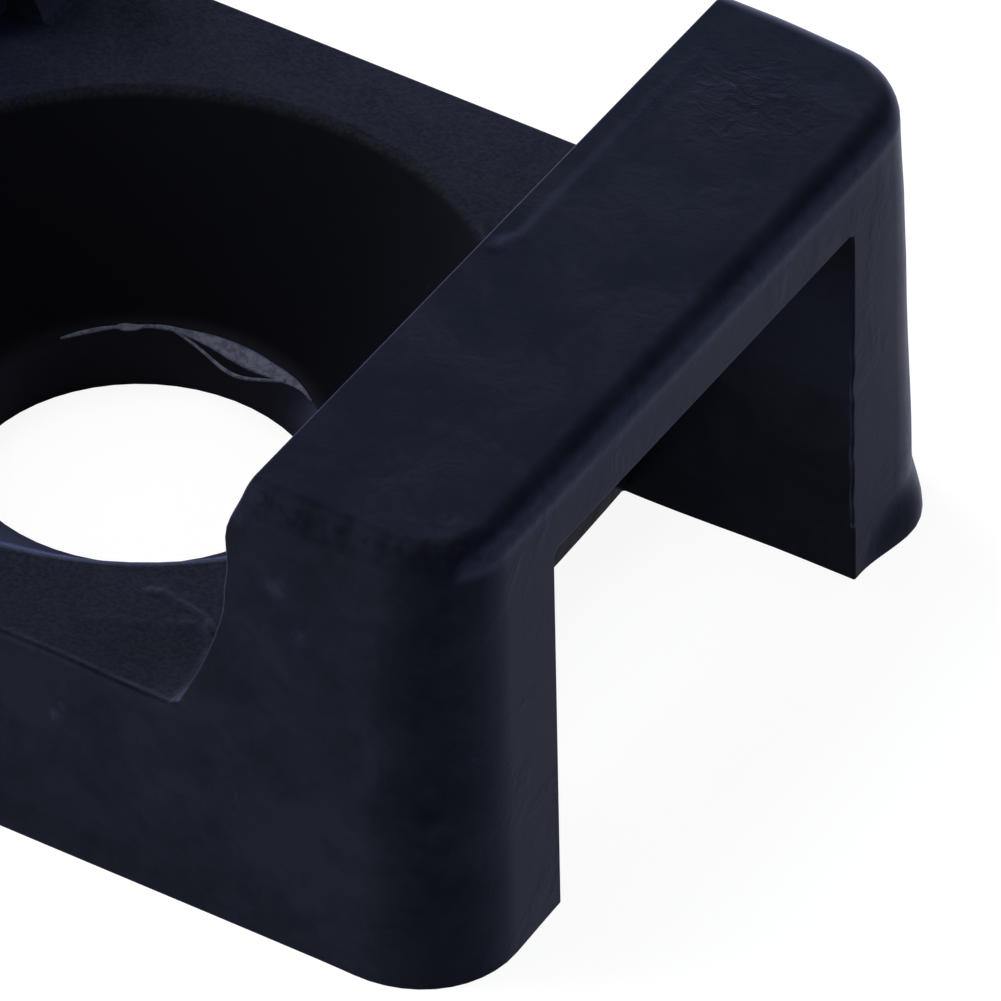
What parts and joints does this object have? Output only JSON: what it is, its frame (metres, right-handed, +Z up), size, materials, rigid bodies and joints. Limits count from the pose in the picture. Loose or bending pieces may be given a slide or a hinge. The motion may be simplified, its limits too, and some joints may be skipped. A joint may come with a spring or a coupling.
{
  "type": "cable tie mount",
  "caption": "Moulded saddle mount for cable ties: a low block with a countersunk screw hole between two flat-topped bridges, each over a slot for the tie.",
  "frame": {"origin": "centre of the bottom face, on the axis of the screw hole", "axes": "+X along the mount from bridge to bridge, which is the way the tie runs; +Y across it; +Z up, away from the surface that it is screwed to"},
  "size_m": [0.022, 0.016, 0.0087],
  "materials": {
    "nylon": "black moulded nylon, satin, with a fine mould grain"
  },
  "bodies": {
    "root": {"tie_mount": "nylon"}
  },
  "joints": []
}
